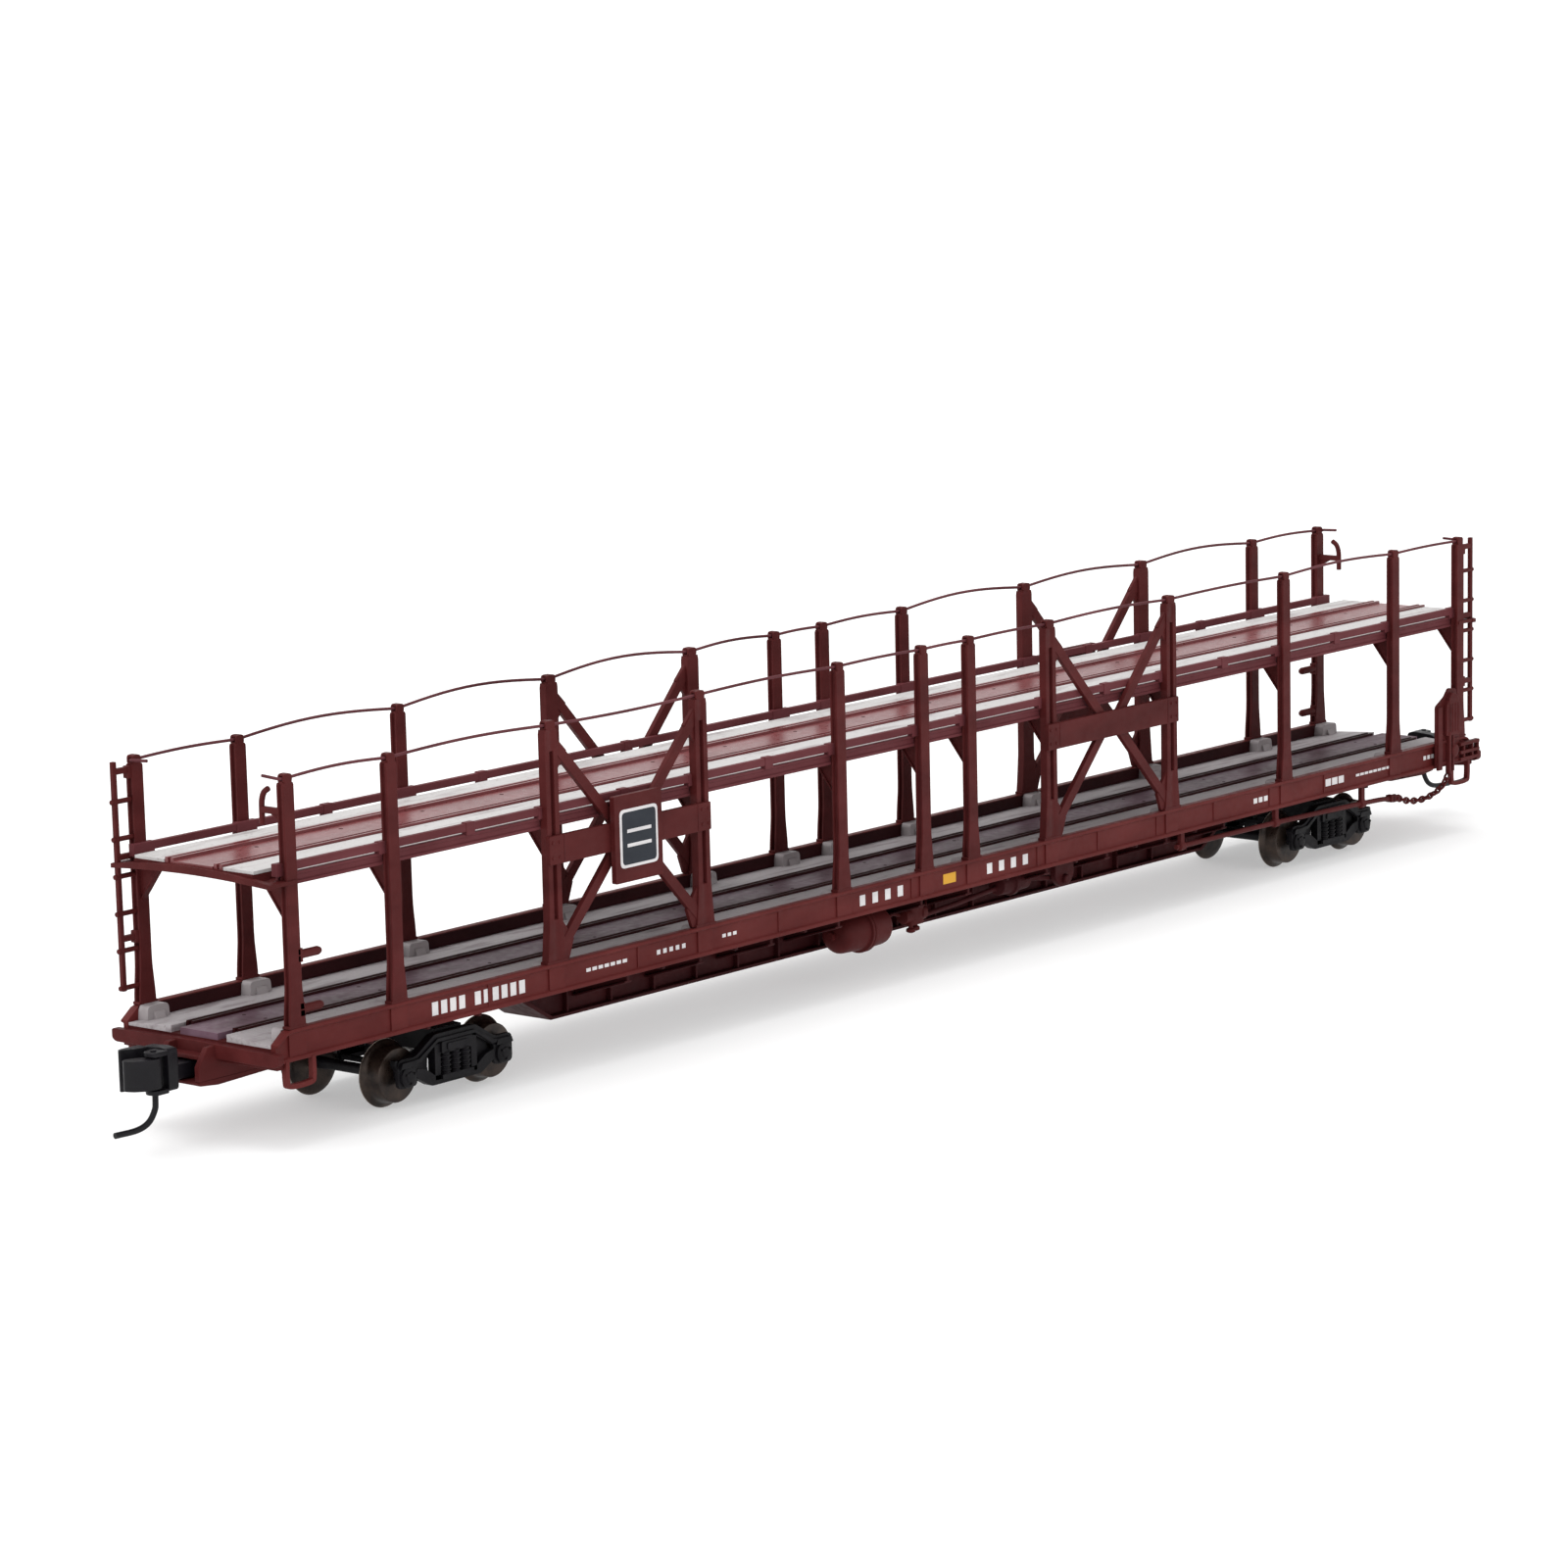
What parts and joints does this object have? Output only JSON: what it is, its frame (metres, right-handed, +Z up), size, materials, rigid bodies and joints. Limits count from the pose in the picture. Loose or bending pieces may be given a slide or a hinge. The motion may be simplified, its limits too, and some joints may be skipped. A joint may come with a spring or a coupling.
{
  "type": "model flat car with open automobile rack",
  "caption": "Long low-deck model railway flat car with an open two-level automobile rack, swivelling two-axle trucks and knuckle couplers.",
  "frame": {"origin": "middle of the car at the lowest point of the wheel flanges", "axes": "+X along the car to the hand-brake end, +Y across the car to its left side, +Z up"},
  "size_m": [0.1882, 0.019, 0.0299],
  "materials": {
    "body_oxide": "satin oxide-brown paint on moulded plastic",
    "frame_oxide": "satin oxide-brown, a little darker below the deck",
    "deck_oxide": "oxide-brown ribs with pale grey tread strips",
    "sign_face": "oxide-brown panel with a plain framed square",
    "steel": "plain steel",
    "wire": "painted fine wire",
    "wheel_metal": "blackened bronze-grey metal, polished tread",
    "axle_black": "satin black plastic",
    "truck_black": "satin black plastic",
    "coupler_black": "satin black plastic"
  },
  "bodies": {
    "car_body": {"underframe": "frame_oxide", "ballast_weight": "steel", "lower_deck": "deck_oxide", "side_sill_right": "body_oxide", "side_sill_left": "body_oxide", "upper_deck": "deck_oxide", "upper_beam_right": "body_oxide", "upper_beam_left": "body_oxide", "post_right_1": "body_oxide", "post_right_2": "body_oxide", "post_right_3": "body_oxide", "post_right_4": "body_oxide", "post_right_5": "body_oxide", "post_right_6": "body_oxide", "post_right_7": "body_oxide", "post_right_8": "body_oxide", "post_left_1": "body_oxide", "post_left_2": "body_oxide", "post_left_3": "body_oxide", "post_left_4": "body_oxide", "post_left_5": "body_oxide", "post_left_6": "body_oxide", "post_left_7": "body_oxide", "post_left_8": "body_oxide", "bay_frame_right_1": "body_oxide", "bay_frame_right_2": "body_oxide", "bay_frame_left_1": "body_oxide", "bay_frame_left_2": "body_oxide", "sign_panel_right": "sign_face", "sign_panel_left": "sign_face", "safety_wire_right": "wire", "safety_wire_left": "wire", "hand_brake_stand": "body_oxide", "hand_brake_rod": "body_oxide", "air_reservoir": "frame_oxide", "control_valve": "frame_oxide", "coupler_lid_a": "frame_oxide", "coupler_lid_b": "frame_oxide", "king_pin_a": "steel", "king_pin_b": "steel"},
    "truck_a": {"truck_frame_a": "truck_black"},
    "wheelset_a1": {"axle_a1": "axle_black", "wheel_a1_left": "wheel_metal", "wheel_a1_right": "wheel_metal"},
    "wheelset_a2": {"axle_a2": "axle_black", "wheel_a2_left": "wheel_metal", "wheel_a2_right": "wheel_metal"},
    "coupler_a": {"coupler_body_a": "coupler_black"},
    "knuckle_arm_a": {"knuckle_a": "coupler_black", "trip_pin_a": "coupler_black"},
    "truck_b": {"truck_frame_b": "truck_black"},
    "wheelset_b1": {"axle_b1": "axle_black", "wheel_b1_left": "wheel_metal", "wheel_b1_right": "wheel_metal"},
    "wheelset_b2": {"axle_b2": "axle_black", "wheel_b2_left": "wheel_metal", "wheel_b2_right": "wheel_metal"},
    "coupler_b": {"coupler_body_b": "coupler_black"},
    "knuckle_arm_b": {"knuckle_b": "coupler_black", "trip_pin_b": "coupler_black"}
  },
  "joints": [
    {"name": "truck_a_swivel", "type": "hinge", "parent": "car_body", "child": "truck_a", "pos_m": [-0.0622, 0, 0.005], "axis": [0, 0, 1], "range_deg": [-15, 15]},
    {"name": "wheelset_a1_spin", "type": "hinge", "parent": "truck_a", "child": "wheelset_a1", "pos_m": [-0.0678, 0, 0.0028], "axis": [0, 1, 0], "continuous": true},
    {"name": "wheelset_a2_spin", "type": "hinge", "parent": "truck_a", "child": "wheelset_a2", "pos_m": [-0.0566, 0, 0.0028], "axis": [0, 1, 0], "continuous": true},
    {"name": "coupler_a_swing", "type": "hinge", "parent": "car_body", "child": "coupler_a", "pos_m": [-0.081, 0, 0.006], "axis": [0, 0, 1], "range_deg": [-10, 10], "stiffness_Nm_per_rad": 0.00002},
    {"name": "knuckle_a_hinge", "type": "hinge", "parent": "coupler_a", "child": "knuckle_arm_a", "pos_m": [-0.0901, -0.00105, 0.006], "axis": [0, 0, 1], "range_deg": [0, 25], "stiffness_Nm_per_rad": 0.000001},
    {"name": "truck_b_swivel", "type": "hinge", "parent": "car_body", "child": "truck_b", "pos_m": [0.0622, 0, 0.005], "axis": [0, 0, 1], "range_deg": [-15, 15]},
    {"name": "wheelset_b1_spin", "type": "hinge", "parent": "truck_b", "child": "wheelset_b1", "pos_m": [0.0678, 0, 0.0028], "axis": [0, 1, 0], "continuous": true},
    {"name": "wheelset_b2_spin", "type": "hinge", "parent": "truck_b", "child": "wheelset_b2", "pos_m": [0.0566, 0, 0.0028], "axis": [0, 1, 0], "continuous": true},
    {"name": "coupler_b_swing", "type": "hinge", "parent": "car_body", "child": "coupler_b", "pos_m": [0.081, 0, 0.006], "axis": [0, 0, 1], "range_deg": [-10, 10], "stiffness_Nm_per_rad": 0.00002},
    {"name": "knuckle_b_hinge", "type": "hinge", "parent": "coupler_b", "child": "knuckle_arm_b", "pos_m": [0.0901, 0.00105, 0.006], "axis": [0, 0, 1], "range_deg": [0, 25], "stiffness_Nm_per_rad": 0.000001}
  ]
}
